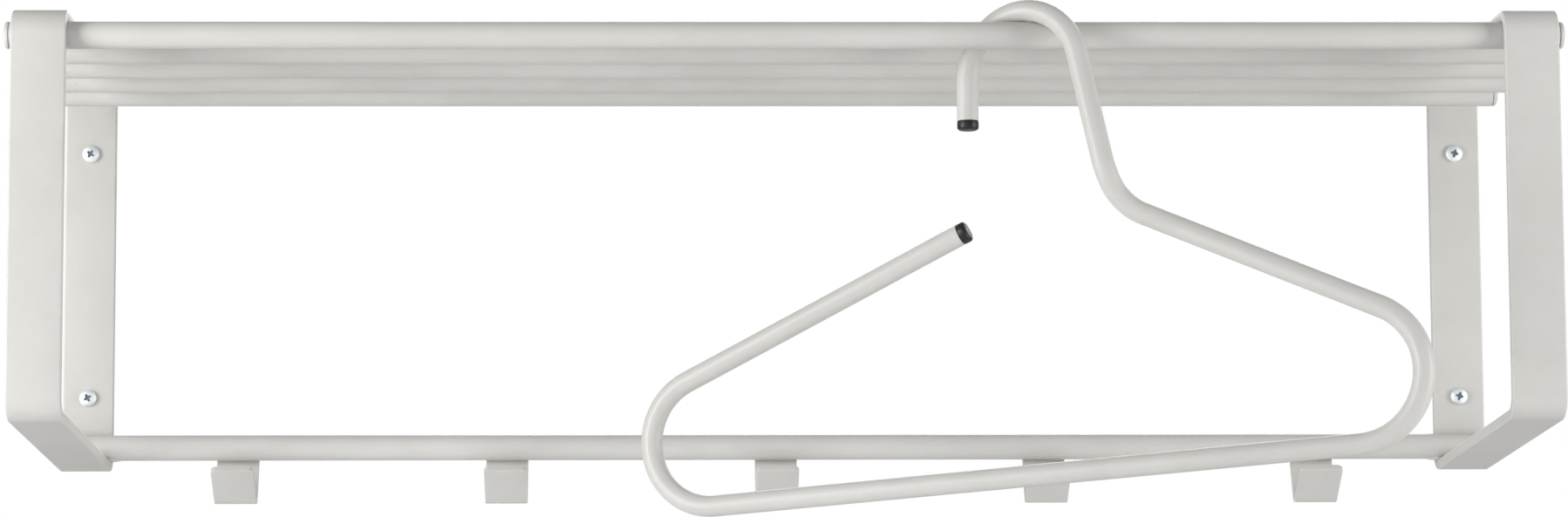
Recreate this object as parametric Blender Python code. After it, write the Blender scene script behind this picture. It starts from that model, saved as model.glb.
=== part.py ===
"""Wall rack with a hat shelf of tubes and a row of coat hooks, and a tube hanger that hangs on it.

+X runs to the right for someone who faces the rack, -Y points at them and +Z is up. The wall is
the plane y = 0. The origin lies on it, midway between the two side frames and level with the
middle of their rear legs. All sizes are in metres and all angles in radians.
"""

import math

import bmesh
import bpy
from mathutils import Matrix, Vector

# Clearance left between pieces that touch on the real rack, where weld or a press fit joins them.
GAP = 0.0003

# Side frames: flat strip bent into closed loops that stand on edge to the wall.
RACK_WIDTH = 0.850
RACK_DEPTH = 0.250
FRONT_HEIGHT = 0.227
REAR_HEIGHT = 0.237
STRIP_WIDTH = 0.030
STRIP_THICKNESS = 0.006
STRIP_EDGE_ROUNDING = 0.0006

# Shelf tubes under the top of the frames, and the rail in the frames' lower rear corner.
SHELF_TUBE_COUNT = 5
SHELF_TUBE_PITCH = 0.049
SHELF_TUBE_DIAMETER = 0.015
RAIL_DIAMETER = 0.015
RACK_TUBE_WALL = 0.0015
TUBE_OVERHANG = 0.002

# Caps that close the tubes' ends.
CAP_HEAD = 0.0024
CAP_STEM = 0.010
CAP_CHAMFER = 0.0008
CAP_ROUNDING = 0.0018

# Coat hooks: short strips bent to a V and welded to the lower rear side of the rail.
COAT_HOOK_COUNT = 5
COAT_HOOK_PITCH = 0.160
COAT_HOOK_WIDTH = 0.025
COAT_HOOK_THICKNESS = 0.003
COAT_HOOK_DROP = 0.034
COAT_HOOK_RISE = 0.020
COAT_HOOK_BEND_RADIUS = 0.004
COAT_HOOK_BACK_LEAN = math.radians(27)
COAT_HOOK_FRONT_SLOPE = math.radians(33)
COAT_HOOK_TOP_LENGTH = 0.005
COAT_HOOK_CORNER_RADIUS = 0.003

# Wall screws with a cross recess, two through each rear leg.
SCREW_INSET = 0.045
SCREW_HOLE_DIAMETER = 0.0055
SCREW_SHANK_DIAMETER = 0.0045
SCREW_LENGTH = 0.040
SCREW_POINT_LENGTH = 0.008
SCREW_HEAD_DIAMETER = 0.0102
SCREW_HEAD_HEIGHT = 0.0028
SCREW_HEAD_RIM = 0.0009
CROSS_SPAN = 0.0054
CROSS_SLOT = 0.0013
CROSS_DEPTH = 0.0019

# Hanger: one tube bent into a hook, a neck, two shoulders and a bar, with a plug in each end.
HANGER_X = 0.1305
HANGER_TUBE_DIAMETER = 0.012
HANGER_TUBE_WALL = 0.0015
HANGER_TIP_LENGTH = 0.021
HANGER_HOOK_RADIUS = 0.037
HANGER_NECK_LENGTH = 0.0732
HANGER_NECK_LEAN = math.radians(14.5)
HANGER_NECK_BEND_RADIUS = 0.0283
HANGER_RIGHT_SHOULDER_LENGTH = 0.143
HANGER_RIGHT_SHOULDER_SLOPE = math.radians(23.6)
HANGER_RIGHT_END_RADIUS = 0.038
HANGER_BAR_LENGTH = 0.376
HANGER_BAR_SLOPE = math.radians(3.1)
HANGER_LEFT_END_RADIUS = 0.037
HANGER_LEFT_SHOULDER_LENGTH = 0.1828
HANGER_LEFT_SHOULDER_SLOPE = math.radians(24.1)
HANGER_PLUG_HEAD = 0.0049
HANGER_PLUG_STEM = 0.009

# The hanger turns a little between its hook and its body. Levels are below the front tube's axis.
HANGER_HOOK_YAW = math.radians(38.4)
HANGER_BODY_YAW = math.radians(25.5)
HANGER_TWIST_TOP = 0.073
HANGER_TWIST_BOTTOM = 0.114

# How finely the round shapes are cut into flats.
TUBE_SIDES = 32
CAP_SIDES = 20
SCREW_SIDES = 24
HANGER_SIDES = 12
STRIP_BEND_STEP = math.radians(15)
HANGER_BEND_STEP = math.radians(11)
HANGER_NECK_PIECES = 10
DOME_STEPS = 3
EDGE_ROUNDING_STEPS = 2
CORNER_STEPS = 4

# Places that follow from the sizes above. The rail sits in the frames' lower rear bend: a rail
# thinner than the bend moves into it until only the clearance is left.
QUARTER_TURN = math.radians(90)
HALF_TURN = math.radians(180)
TOP_Z = REAR_HEIGHT / 2
REAR_BOTTOM_Z = -REAR_HEIGHT / 2
FRAME_X = (RACK_WIDTH - STRIP_WIDTH) / 2
BOTTOM_SLOPE = math.atan2(REAR_HEIGHT - FRONT_HEIGHT, RACK_DEPTH)
STRIP_BEND_RADIUS = SHELF_TUBE_DIAMETER / 2 + GAP
SHELF_TUBE_INSET = STRIP_THICKNESS + GAP + SHELF_TUBE_DIAMETER / 2
SHELF_TUBE_Z = TOP_Z - SHELF_TUBE_INSET
FRONT_TUBE_Y = -RACK_DEPTH + SHELF_TUBE_INSET
RAIL_INSET = STRIP_THICKNESS + max(RAIL_DIAMETER / 2 + GAP, STRIP_BEND_RADIUS)
RAIL_PLAY = max(STRIP_BEND_RADIUS - GAP - RAIL_DIAMETER / 2, 0)
RAIL_SEAT_ANGLE = (QUARTER_TURN + BOTTOM_SLOPE) / 2
RAIL_Y = RAIL_PLAY * math.cos(RAIL_SEAT_ANGLE) - RAIL_INSET
RAIL_Z = REAR_BOTTOM_Z + RAIL_INSET * (math.tan(BOTTOM_SLOPE) + 1 / math.cos(BOTTOM_SLOPE))
RAIL_Z -= RAIL_PLAY * math.sin(RAIL_SEAT_ANGLE)
TUBE_LENGTH = RACK_WIDTH + 2 * TUBE_OVERHANG

SAME_PLACE = 1e-6


# Finishes


def finish(name, color, roughness, metallic):
    material = bpy.data.materials.new(name)
    material.use_nodes = True
    shader = material.node_tree.nodes["Principled BSDF"]
    shader.inputs["Base Color"].default_value = (*color, 1)
    shader.inputs["Roughness"].default_value = roughness
    shader.inputs["Metallic"].default_value = metallic
    return material


# Shapes


def direction_of(heading):
    return Vector((math.cos(heading), math.sin(heading)))


def left_of(heading):
    return direction_of(heading + QUARTER_TURN)


def bent_path(start, heading, bends, step):
    """Points and left-hand normals along a bent bar, from a list of (straight, turn, radius)."""
    point = Vector(start)
    points = [point.copy()]
    normals = [left_of(heading)]
    for straight, turn, radius in bends:
        if straight > 0:
            point = point + direction_of(heading) * straight
            points.append(point.copy())
            normals.append(left_of(heading))
        side = math.copysign(radius, turn)
        centre = point + left_of(heading) * side
        steps = math.ceil(abs(turn) / step)
        for index in range(1, steps + 1):
            normal = left_of(heading + turn * index / steps)
            points.append(centre - normal * side)
            normals.append(normal)
        heading += turn
        point = points[-1]
    return points, normals


def mesh_from(bm, name):
    bmesh.ops.recalc_face_normals(bm, faces=bm.faces)
    mesh = bpy.data.meshes.new(name)
    bm.to_mesh(mesh)
    bm.free()
    return mesh


def strip_mesh(name, points, normals, thickness, width, closed):
    """A flat strip bent along a path in the YZ plane, with its width along X."""
    bm = bmesh.new()
    rings = []
    for point, normal in zip(points, normals):
        left = point + normal * thickness / 2
        right = point - normal * thickness / 2
        corners = ((-width / 2, left), (width / 2, left), (width / 2, right), (-width / 2, right))
        rings.append([bm.verts.new((x, place.x, place.y)) for x, place in corners])
    pairs = list(zip(rings, rings[1:]))
    if closed:
        pairs.append((rings[-1], rings[0]))
    else:
        bm.faces.new(rings[0])
        bm.faces.new(rings[-1])
    for ring, next_ring in pairs:
        for corner in range(4):
            after = (corner + 1) % 4
            bm.faces.new((ring[corner], ring[after], next_ring[after], next_ring[corner]))
    return mesh_from(bm, name)


def turned_mesh(name, profile, sides):
    """A profile of (radius, height) points turned round the Z axis."""
    bm = bmesh.new()
    verts = [bm.verts.new((radius, 0, height)) for radius, height in profile]
    ends_on_axis = profile[0][0] == 0
    chain = verts if ends_on_axis else verts + verts[:1]
    edges = [bm.edges.new(pair) for pair in zip(chain, chain[1:])]
    bmesh.ops.spin(
        bm,
        geom=verts + edges,
        cent=(0, 0, 0),
        axis=(0, 0, 1),
        angle=2 * HALF_TURN,
        steps=sides,
        use_merge=True,
    )
    bmesh.ops.remove_doubles(bm, verts=bm.verts, dist=SAME_PLACE)
    return mesh_from(bm, name)


def domed_end(radius, base, height):
    """Profile points of a shallow dome, from its rim to the point on the axis."""
    angles = [QUARTER_TURN * index / DOME_STEPS for index in range(DOME_STEPS)]
    rim = [(radius * math.cos(angle), base + height * math.sin(angle)) for angle in angles]
    return rim + [(0, base + height)]


def rounded_end(radius, end, rounding):
    """Profile points of a flat end with a rounded edge, from the edge to the axis."""
    points = []
    for index in range(DOME_STEPS + 1):
        angle = QUARTER_TURN * index / DOME_STEPS
        inward = rounding * (1 - math.cos(angle))
        below = rounding * (1 - math.sin(angle))
        points.append((radius - inward, end - below))
    return points + [(0, end)]


def carved(mesh, cutter):
    """The mesh less the cutter, as a new mesh. Both cutting objects are removed again."""
    body = bpy.data.objects.new(mesh.name + "_body", mesh)
    tool = bpy.data.objects.new(mesh.name + "_tool", cutter)
    for obj in (body, tool):
        bpy.context.scene.collection.objects.link(obj)
    cut = body.modifiers.new("cut", "BOOLEAN")
    cut.operation = "DIFFERENCE"
    cut.solver = "EXACT"
    cut.object = tool
    graph = bpy.context.evaluated_depsgraph_get()
    result = bpy.data.meshes.new_from_object(body.evaluated_get(graph))
    result.name = mesh.name + "_carved"
    for obj in (body, tool):
        bpy.data.objects.remove(obj)
    return result


def place(name, data, material, location, rotation=(0, 0, 0), parent=None):
    """Adds a named piece. The shape may be shared, so the finish belongs to the object."""
    if not data.materials:
        data.materials.append(material)
    obj = bpy.data.objects.new(name, data)
    obj.location = location
    obj.rotation_euler = rotation
    obj.parent = parent
    bpy.context.scene.collection.objects.link(obj)
    return obj


def shade_round(mesh, sharpest=math.radians(35)):
    mesh.shade_smooth()
    mesh.set_sharp_from_angle(angle=sharpest)


def round_edges(obj, width):
    """Takes the sharpness off a cut strip's long edges."""
    bevel = obj.modifiers.new("rounded_edges", "BEVEL")
    bevel.width = width
    bevel.segments = EDGE_ROUNDING_STEPS
    bevel.limit_method = "ANGLE"
    bevel.angle_limit = math.radians(60)


def screw_heights():
    return (TOP_Z - SCREW_INSET, REAR_BOTTOM_Z + SCREW_INSET)


# Side frames


def frame_loop():
    """The loop's middle line in (y, z), from the top of the rear leg over the top to the front."""
    radius = STRIP_BEND_RADIUS + STRIP_THICKNESS / 2
    inset = STRIP_THICKNESS / 2 + radius
    top = RACK_DEPTH - 2 * inset
    front_turn = QUARTER_TURN - BOTTOM_SLOPE
    rear_turn = QUARTER_TURN + BOTTOM_SLOPE
    low_inset = STRIP_THICKNESS / 2 * (1 / math.cos(BOTTOM_SLOPE) + math.tan(BOTTOM_SLOPE))
    high_inset = STRIP_THICKNESS / 2 * (1 / math.cos(BOTTOM_SLOPE) - math.tan(BOTTOM_SLOPE))
    front = FRONT_HEIGHT - inset - high_inset - radius * math.tan(front_turn / 2)
    rear = REAR_HEIGHT - inset - low_inset - radius * math.tan(rear_turn / 2)
    bottom = (RACK_DEPTH - STRIP_THICKNESS) / math.cos(BOTTOM_SLOPE)
    bottom -= radius * (math.tan(front_turn / 2) + math.tan(rear_turn / 2))
    bends = [
        (top, QUARTER_TURN, radius),
        (front, front_turn, radius),
        (bottom, rear_turn, radius),
        (rear, QUARTER_TURN, radius),
    ]
    start = (-inset, TOP_Z - STRIP_THICKNESS / 2)
    points, normals = bent_path(start, HALF_TURN, bends, STRIP_BEND_STEP)
    return points[:-1], normals[:-1]


def screw_hole_cutter():
    bm = bmesh.new()
    depth = 3 * STRIP_THICKNESS
    for height in screw_heights():
        hole = bmesh.ops.create_cone(
            bm,
            cap_ends=True,
            segments=SCREW_SIDES,
            radius1=SCREW_HOLE_DIAMETER / 2,
            radius2=SCREW_HOLE_DIAMETER / 2,
            depth=depth,
        )
        across = Matrix.Rotation(QUARTER_TURN, 3, "X")
        bmesh.ops.rotate(bm, verts=hole["verts"], matrix=across)
        bmesh.ops.translate(bm, verts=hole["verts"], vec=(0, -STRIP_THICKNESS / 2, height))
    return mesh_from(bm, "screw_holes")


def make_side_frames(coat):
    points, normals = frame_loop()
    loop = strip_mesh("frame_strip", points, normals, STRIP_THICKNESS, STRIP_WIDTH, closed=True)
    loop = carved(loop, screw_hole_cutter())
    for side, x in (("left", -FRAME_X), ("right", FRAME_X)):
        frame = place("side_frame_" + side, loop, coat, (x, 0, 0))
        round_edges(frame, STRIP_EDGE_ROUNDING)


# Tubes and their caps


def tube_mesh(name, diameter):
    outer = diameter / 2
    bore = outer - RACK_TUBE_WALL
    half = TUBE_LENGTH / 2
    profile = [(bore, -half), (outer, -half), (outer, half), (bore, half)]
    mesh = turned_mesh(name, profile, TUBE_SIDES)
    shade_round(mesh)
    return mesh


def plug_mesh(name, diameter, wall, head, stem):
    """A plug whose head covers the tube's cut end. Its origin is the middle of that end."""
    outer = diameter / 2
    fit = outer - wall - GAP
    profile = [
        (0, -stem),
        (fit - CAP_CHAMFER, -stem),
        (fit, CAP_CHAMFER - stem),
        (fit, GAP),
        (outer, GAP),
    ]
    profile += rounded_end(outer, head + GAP, CAP_ROUNDING)
    mesh = turned_mesh(name, profile, CAP_SIDES)
    shade_round(mesh)
    return mesh


def make_capped_tube(name, tube, cap, coat, y, z):
    along_x = (0, QUARTER_TURN, 0)
    place(name, tube, coat, (0, y, z), along_x)
    for side, sign in (("left", -1), ("right", 1)):
        end = (sign * TUBE_LENGTH / 2, y, z)
        place(f"{name}_cap_{side}", cap, coat, end, (0, sign * QUARTER_TURN, 0))


def make_tubes(coat):
    tube = tube_mesh("shelf_tube", SHELF_TUBE_DIAMETER)
    cap = plug_mesh("shelf_cap", SHELF_TUBE_DIAMETER, RACK_TUBE_WALL, CAP_HEAD, CAP_STEM)
    for index in range(SHELF_TUBE_COUNT):
        y = FRONT_TUBE_Y + index * SHELF_TUBE_PITCH
        make_capped_tube(f"shelf_tube_{index + 1}", tube, cap, coat, y, SHELF_TUBE_Z)
    rail = tube_mesh("hook_rail", RAIL_DIAMETER)
    rail_cap = plug_mesh("rail_cap", RAIL_DIAMETER, RACK_TUBE_WALL, CAP_HEAD, CAP_STEM)
    make_capped_tube("hook_rail", rail, rail_cap, coat, RAIL_Y, RAIL_Z)


# Coat hooks


def coat_hook_path():
    """The hook's middle line in (y, z) from the rail's axis, from its top end to its tip."""
    lean = COAT_HOOK_BACK_LEAN
    slope = COAT_HOOK_FRONT_SLOPE
    half = COAT_HOOK_THICKNESS / 2
    radius = COAT_HOOK_BEND_RADIUS + half
    reach = RAIL_DIAMETER / 2 + GAP + half
    touch = Vector((math.cos(lean), -math.sin(lean))) * reach
    heading = -QUARTER_TURN - lean
    start = touch - direction_of(heading) * COAT_HOOK_TOP_LENGTH
    bend_z = radius + half - COAT_HOOK_DROP
    back = (touch.y + radius * math.sin(lean) - bend_z) / math.cos(lean)
    front_start_z = bend_z - radius * math.cos(slope)
    front_end_z = COAT_HOOK_RISE - COAT_HOOK_DROP - half * math.cos(slope)
    front = (front_end_z - front_start_z) / math.sin(slope)
    turn = lean - slope - QUARTER_TURN
    bends = [(back + COAT_HOOK_TOP_LENGTH, turn, radius), (front, 0, 0)]
    return bent_path(start, heading, bends, STRIP_BEND_STEP)


def round_tip_corners(mesh):
    """Rounds the two corners of the front leg's free edge."""
    bm = bmesh.new()
    bm.from_mesh(mesh)
    lowest_y = min(vert.co.y for vert in bm.verts)
    limit = lowest_y + COAT_HOOK_THICKNESS
    tip = [
        edge
        for edge in bm.edges
        if all(vert.co.y < limit for vert in edge.verts)
        and abs(edge.verts[0].co.x - edge.verts[1].co.x) < SAME_PLACE
    ]
    bmesh.ops.bevel(
        bm,
        geom=tip,
        offset=COAT_HOOK_CORNER_RADIUS,
        segments=CORNER_STEPS,
        profile=0.5,
        affect="EDGES",
    )
    bm.to_mesh(mesh)
    bm.free()


def make_coat_hooks(coat):
    points, normals = coat_hook_path()
    hook = strip_mesh(
        "coat_hook", points, normals, COAT_HOOK_THICKNESS, COAT_HOOK_WIDTH, closed=False
    )
    round_tip_corners(hook)
    for index in range(COAT_HOOK_COUNT):
        x = (index - (COAT_HOOK_COUNT - 1) / 2) * COAT_HOOK_PITCH
        place(f"coat_hook_{index + 1}", hook, coat, (x, RAIL_Y, RAIL_Z))


# Wall screws


def cross_cutter():
    """A cross that narrows downwards, for the driver's recess."""
    arm = CROSS_SPAN / 2
    half = CROSS_SLOT / 2
    quarter = [(arm, -half), (arm, half), (half, half)]
    outline = []
    for turn in range(4):
        for x, y in quarter:
            for _ in range(turn):
                x, y = -y, x
            outline.append((x, y))
    levels = ((SCREW_HEAD_HEIGHT - CROSS_DEPTH, 0.6), (SCREW_HEAD_HEIGHT + CROSS_DEPTH, 1.4))
    bm = bmesh.new()
    rings = []
    for height, scale in levels:
        rings.append([bm.verts.new((x * scale, y * scale, height)) for x, y in outline])
        bm.faces.new(rings[-1])
    bottom, top = rings
    for corner in range(len(outline)):
        after = (corner + 1) % len(outline)
        bm.faces.new((bottom[corner], bottom[after], top[after], top[corner]))
    return mesh_from(bm, "cross")


def make_screws(zinc):
    shank = SCREW_SHANK_DIAMETER / 2
    head = SCREW_HEAD_DIAMETER / 2
    profile = [
        (0, -SCREW_LENGTH),
        (shank, SCREW_POINT_LENGTH - SCREW_LENGTH),
        (shank, 0),
        (head, 0),
    ]
    profile += domed_end(head, SCREW_HEAD_RIM, SCREW_HEAD_HEIGHT - SCREW_HEAD_RIM)
    screw = carved(turned_mesh("wall_screw", profile, SCREW_SIDES), cross_cutter())
    shade_round(screw)
    seat_y = -STRIP_THICKNESS - GAP
    for side, x in (("left", -FRAME_X), ("right", FRAME_X)):
        for level, height in zip(("upper", "lower"), screw_heights()):
            name = f"wall_screw_{side}_{level}"
            place(name, screw, zinc, (x, seat_y, height), (QUARTER_TURN, 0, 0))


# Hanger


def hanger_path():
    """The tube's middle line in the hanger's own plane (right, up), from the hook's tip.

    It is measured from the front shelf tube's axis, with the hook's crown right above it.
    """
    crown = SHELF_TUBE_DIAMETER / 2 + GAP + HANGER_TUBE_DIAMETER / 2
    tip = (-HANGER_HOOK_RADIUS, crown - HANGER_HOOK_RADIUS - HANGER_TIP_LENGTH)
    hook_turn = HANGER_NECK_LEAN - HALF_TURN
    neck_turn = QUARTER_TURN - HANGER_NECK_LEAN - HANGER_RIGHT_SHOULDER_SLOPE
    right_turn = HANGER_RIGHT_SHOULDER_SLOPE + HANGER_BAR_SLOPE - HALF_TURN
    left_turn = HANGER_LEFT_SHOULDER_SLOPE - HANGER_BAR_SLOPE - HALF_TURN
    neck_piece = HANGER_NECK_LENGTH / HANGER_NECK_PIECES
    bends = [(HANGER_TIP_LENGTH, hook_turn, HANGER_HOOK_RADIUS)]
    bends += [(neck_piece, 0, 0)] * (HANGER_NECK_PIECES - 1)
    bends += [
        (neck_piece, neck_turn, HANGER_NECK_BEND_RADIUS),
        (HANGER_RIGHT_SHOULDER_LENGTH, right_turn, HANGER_RIGHT_END_RADIUS),
        (HANGER_BAR_LENGTH, left_turn, HANGER_LEFT_END_RADIUS),
        (HANGER_LEFT_SHOULDER_LENGTH, 0, 0),
    ]
    points, _ = bent_path(tip, QUARTER_TURN, bends, HANGER_BEND_STEP)
    return points


def hook_share(up):
    """1 at the level of the hook and 0 at the level of the body, with a smooth step between."""
    share = (up + HANGER_TWIST_BOTTOM) / (HANGER_TWIST_BOTTOM - HANGER_TWIST_TOP)
    share = min(max(share, 0), 1)
    return share * share * (3 - 2 * share)


def turned_about_upright(point, setback):
    """A point of the hanger's plane in space, with its body set back by the distance given."""
    right, up = point
    share = hook_share(up)
    yaw = HANGER_BODY_YAW + (HANGER_HOOK_YAW - HANGER_BODY_YAW) * share
    return Vector((right * math.cos(yaw), setback * (1 - share) - right * math.sin(yaw), up))


def balancing_setback(path):
    """How far the body sits towards the wall so that the hanger hangs plumb under the tube."""
    moment = 0
    body_length = 0
    for start, end in zip(path, path[1:]):
        length = (end - start).length
        middle = (start + end) / 2
        moment += length * turned_about_upright(middle, 0).y
        body_length += length * (1 - hook_share(middle.y))
    return -moment / body_length


def tube_along(name, points):
    """A hollow tube along the points, open at both ends."""
    curve = bpy.data.curves.new(name, "CURVE")
    curve.dimensions = "3D"
    curve.bevel_depth = HANGER_TUBE_DIAMETER / 2
    curve.bevel_resolution = HANGER_SIDES // 2 - 2
    curve.use_fill_caps = False
    spline = curve.splines.new("POLY")
    spline.points.add(len(points) - 1)
    for target, point in zip(spline.points, points):
        target.co = (*point, 1)
    spline.use_smooth = True
    return curve


def make_hanger(coat, black):
    pivot = bpy.data.objects.new("hanger_pivot", None)
    pivot.location = (HANGER_X, FRONT_TUBE_Y, SHELF_TUBE_Z)
    bpy.context.scene.collection.objects.link(pivot)
    path = hanger_path()
    setback = balancing_setback(path)
    points = [turned_about_upright(point, setback) for point in path]
    curve = tube_along("hanger_tube", points)
    tube = place("hanger_tube", curve, coat, (0, 0, 0), parent=pivot)
    wall = tube.modifiers.new("tube_wall", "SOLIDIFY")
    wall.thickness = HANGER_TUBE_WALL
    wall.offset = -1
    wall.use_rim = True
    plug = plug_mesh(
        "hanger_plug", HANGER_TUBE_DIAMETER, HANGER_TUBE_WALL, HANGER_PLUG_HEAD, HANGER_PLUG_STEM
    )
    ends = (("tip", points[0], points[1]), ("shoulder", points[-1], points[-2]))
    for name, end, before in ends:
        outwards = (end - before).to_track_quat("Z", "Y").to_euler()
        place(f"hanger_plug_{name}", plug, black, end, outwards, pivot)


def main():
    for obj in list(bpy.data.objects):
        bpy.data.objects.remove(obj)
    coat = finish("powder_coat", (0.60, 0.59, 0.565), 0.42, 0.0)
    zinc = finish("bright_zinc", (0.78, 0.80, 0.82), 0.28, 1.0)
    black = finish("black_plastic", (0.012, 0.012, 0.013), 0.45, 0.0)
    make_side_frames(coat)
    make_tubes(coat)
    make_coat_hooks(coat)
    make_screws(zinc)
    make_hanger(coat, black)


main()
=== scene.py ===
# %% [markdown]
# # A wall rack with a hat shelf, coat hooks and a tube hanger
#
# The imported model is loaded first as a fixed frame. It says where every piece lies, in metres,
# with +X to the right, +Z up and the wall at y = 0. The looks are then built round it: smoother
# bars and tubes, weld beads, real screws, and the finishes.

import math

import bmesh
import bpy
import numpy as np
from mathutils import Matrix, Vector


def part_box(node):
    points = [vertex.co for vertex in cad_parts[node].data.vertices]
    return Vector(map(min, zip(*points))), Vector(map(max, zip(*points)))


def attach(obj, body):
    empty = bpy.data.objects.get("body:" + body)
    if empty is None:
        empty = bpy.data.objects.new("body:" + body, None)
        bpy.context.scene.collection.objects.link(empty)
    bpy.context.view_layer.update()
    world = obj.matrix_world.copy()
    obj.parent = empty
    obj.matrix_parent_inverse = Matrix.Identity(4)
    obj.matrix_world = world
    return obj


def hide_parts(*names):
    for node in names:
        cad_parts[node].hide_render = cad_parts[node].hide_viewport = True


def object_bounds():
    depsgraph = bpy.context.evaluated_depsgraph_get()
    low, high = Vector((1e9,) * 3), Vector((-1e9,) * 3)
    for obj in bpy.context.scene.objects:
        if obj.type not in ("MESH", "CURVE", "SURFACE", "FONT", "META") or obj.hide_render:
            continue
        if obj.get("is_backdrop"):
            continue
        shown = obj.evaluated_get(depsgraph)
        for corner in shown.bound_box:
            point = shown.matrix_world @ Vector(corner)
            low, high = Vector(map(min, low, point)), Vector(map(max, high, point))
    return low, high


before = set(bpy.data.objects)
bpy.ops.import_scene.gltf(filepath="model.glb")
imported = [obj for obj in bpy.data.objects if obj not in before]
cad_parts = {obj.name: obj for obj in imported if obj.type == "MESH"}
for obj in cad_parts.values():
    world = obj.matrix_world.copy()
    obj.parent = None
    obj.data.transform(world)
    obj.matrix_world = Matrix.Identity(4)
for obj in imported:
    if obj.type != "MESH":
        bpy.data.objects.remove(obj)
cad_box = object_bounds()
print("overall size:", [round(side, 4) for side in cad_box[1] - cad_box[0]])

# %% [markdown]
# The main places are read from the frame's boxes, so the pieces follow the frame if it is made
# again. The sizes that a box can't give, such as bend radii, wall thicknesses and the line of the
# hanger, are named where they are used, and they repeat the part's own sizes. Pieces that are
# welded or pressed together in the real rack stand a hair apart in the frame, by GAP.

# %% Read the main places
GAP = 0.0003
LEFT_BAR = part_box("side_frame_left")
RIGHT_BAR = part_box("side_frame_right")
FRONT_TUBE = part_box("shelf_tube_1")
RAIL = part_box("hook_rail")


def middle(box):
    return (box[0] + box[1]) / 2


TOP_Z = LEFT_BAR[1].z
BOTTOM_Z = LEFT_BAR[0].z
DEPTH = LEFT_BAR[1].y - LEFT_BAR[0].y
BAR_WIDTH = LEFT_BAR[1].x - LEFT_BAR[0].x
FRONT_AXIS = middle(FRONT_TUBE)
TUBE_RADIUS = (FRONT_TUBE[1].z - FRONT_TUBE[0].z) / 2
RAIL_AXIS = middle(RAIL)
RAIL_RADIUS = (RAIL[1].z - RAIL[0].z) / 2
print("front tube axis:", [round(v, 4) for v in FRONT_AXIS], "radius:", round(TUBE_RADIUS, 4))
print("rail axis:", [round(v, 4) for v in RAIL_AXIS], "radius:", round(RAIL_RADIUS, 4))

# %% [markdown]
# ## Writing shader maths as ordinary sums
#
# A finish is a small sum: how much grain, plus how much orange peel, times how worn. Blender
# builds such a sum out of Math nodes, and each could be added and linked by its own two lines.
# This class wraps one socket instead, so that `0.4 + 0.1 * grain` adds the nodes by itself and
# the finish below can be read like a recipe.


# %% The Wire class
class Wire:
    """One output socket. Sums of wires and numbers add Math nodes to its node tree."""

    def __init__(self, tree, socket=None):
        self.tree = tree
        self.socket = socket

    def node(self, kind, settings, sockets, output=0):
        """Adds a node: its settings first, then the values or wires of its sockets."""
        made = self.tree.nodes.new(kind)
        for name, value in settings.items():
            setattr(made, name, value)
        for name, value in sockets.items():
            if isinstance(value, Wire):
                self.tree.links.new(value.socket, made.inputs[name])
            else:
                made.inputs[name].default_value = value
        return Wire(self.tree, made.outputs[output])

    def maths(self, operation, *values):
        return self.node("ShaderNodeMath", {"operation": operation}, dict(enumerate(values)))

    def __add__(self, other):
        return self.maths("ADD", self, other)

    def __radd__(self, other):
        return self.maths("ADD", other, self)

    def __sub__(self, other):
        return self.maths("SUBTRACT", self, other)

    def __rsub__(self, other):
        return self.maths("SUBTRACT", other, self)

    def __mul__(self, other):
        return self.maths("MULTIPLY", self, other)

    def __rmul__(self, other):
        return self.maths("MULTIPLY", other, self)

    def __gt__(self, other):
        return self.maths("GREATER_THAN", self, other)

    def noise(self, scale, detail=2.0, roughness=0.5):
        """Noise over this vector, with its middle at 0 and most of it between -1 and 1."""
        sockets = {"Vector": self, "Scale": scale, "Detail": detail, "Roughness": roughness}
        return 4 * self.node("ShaderNodeTexNoise", {}, sockets) - 2

    def ramp(self, low, high):
        """0 below low, 1 above high, and a smooth step between."""
        settings = {"interpolation_type": "SMOOTHSTEP", "clamp": True}
        sockets = {"Value": self, "From Min": low, "From Max": high}
        return self.node("ShaderNodeMapRange", settings, sockets)

    def blend(self, first, second):
        """A colour from first to second, as this wire goes from 0 to 1."""
        settings = {"data_type": "RGBA", "clamp_factor": True}
        sockets = {"Factor": self, 6: first, 7: second}
        return self.node("ShaderNodeMix", settings, sockets, output=2)

    def bump(self, height):
        """Relief of a given height in metres, for the Normal socket."""
        sockets = {"Height": height, "Distance": 1.0, "Strength": 1.0}
        return self.node("ShaderNodeBump", {}, sockets)

    def coordinates(self):
        """The piece's own coordinates, in metres."""
        return self.node("ShaderNodeTexCoord", {}, {}, output="Object")

    def stored(self, name):
        """A number that the mesh stores at its points."""
        settings = {"attribute_name": name}
        return self.node("ShaderNodeAttribute", settings, {}, output="Fac")


def new_finish(name):
    """A material with an empty Principled shader, and a wire to start its recipe from."""
    material = bpy.data.materials.new(name)
    material.use_nodes = True
    return material, Wire(material.node_tree)


def finish_with(material, sockets):
    """Plugs the recipe's wires and values into the Principled shader."""
    shader = material.node_tree.nodes["Principled BSDF"]
    for name, value in sockets.items():
        if isinstance(value, Wire):
            material.node_tree.links.new(value.socket, shader.inputs[name])
        else:
            shader.inputs[name].default_value = value
    print("finish", material.name, "has", len(material.node_tree.nodes), "nodes")


# %% [markdown]
# ## Powder coat
#
# The rack is sprayed with dry powder and baked. The melted film is never quite flat: it has an
# orange peel of shallow dimples about 2 mm across, and a finer grain on top. It pulls thin on
# sharp edges, where it looks a little lighter, and its colour drifts slightly between broad
# places. A few specks of dust are always baked in. It could be painted as a picture, but a bent
# bar has no flat side to lay a picture on. So it is noise at several sizes in the piece's own
# coordinates, without seams, and the texture stays on a piece that moves.


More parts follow.
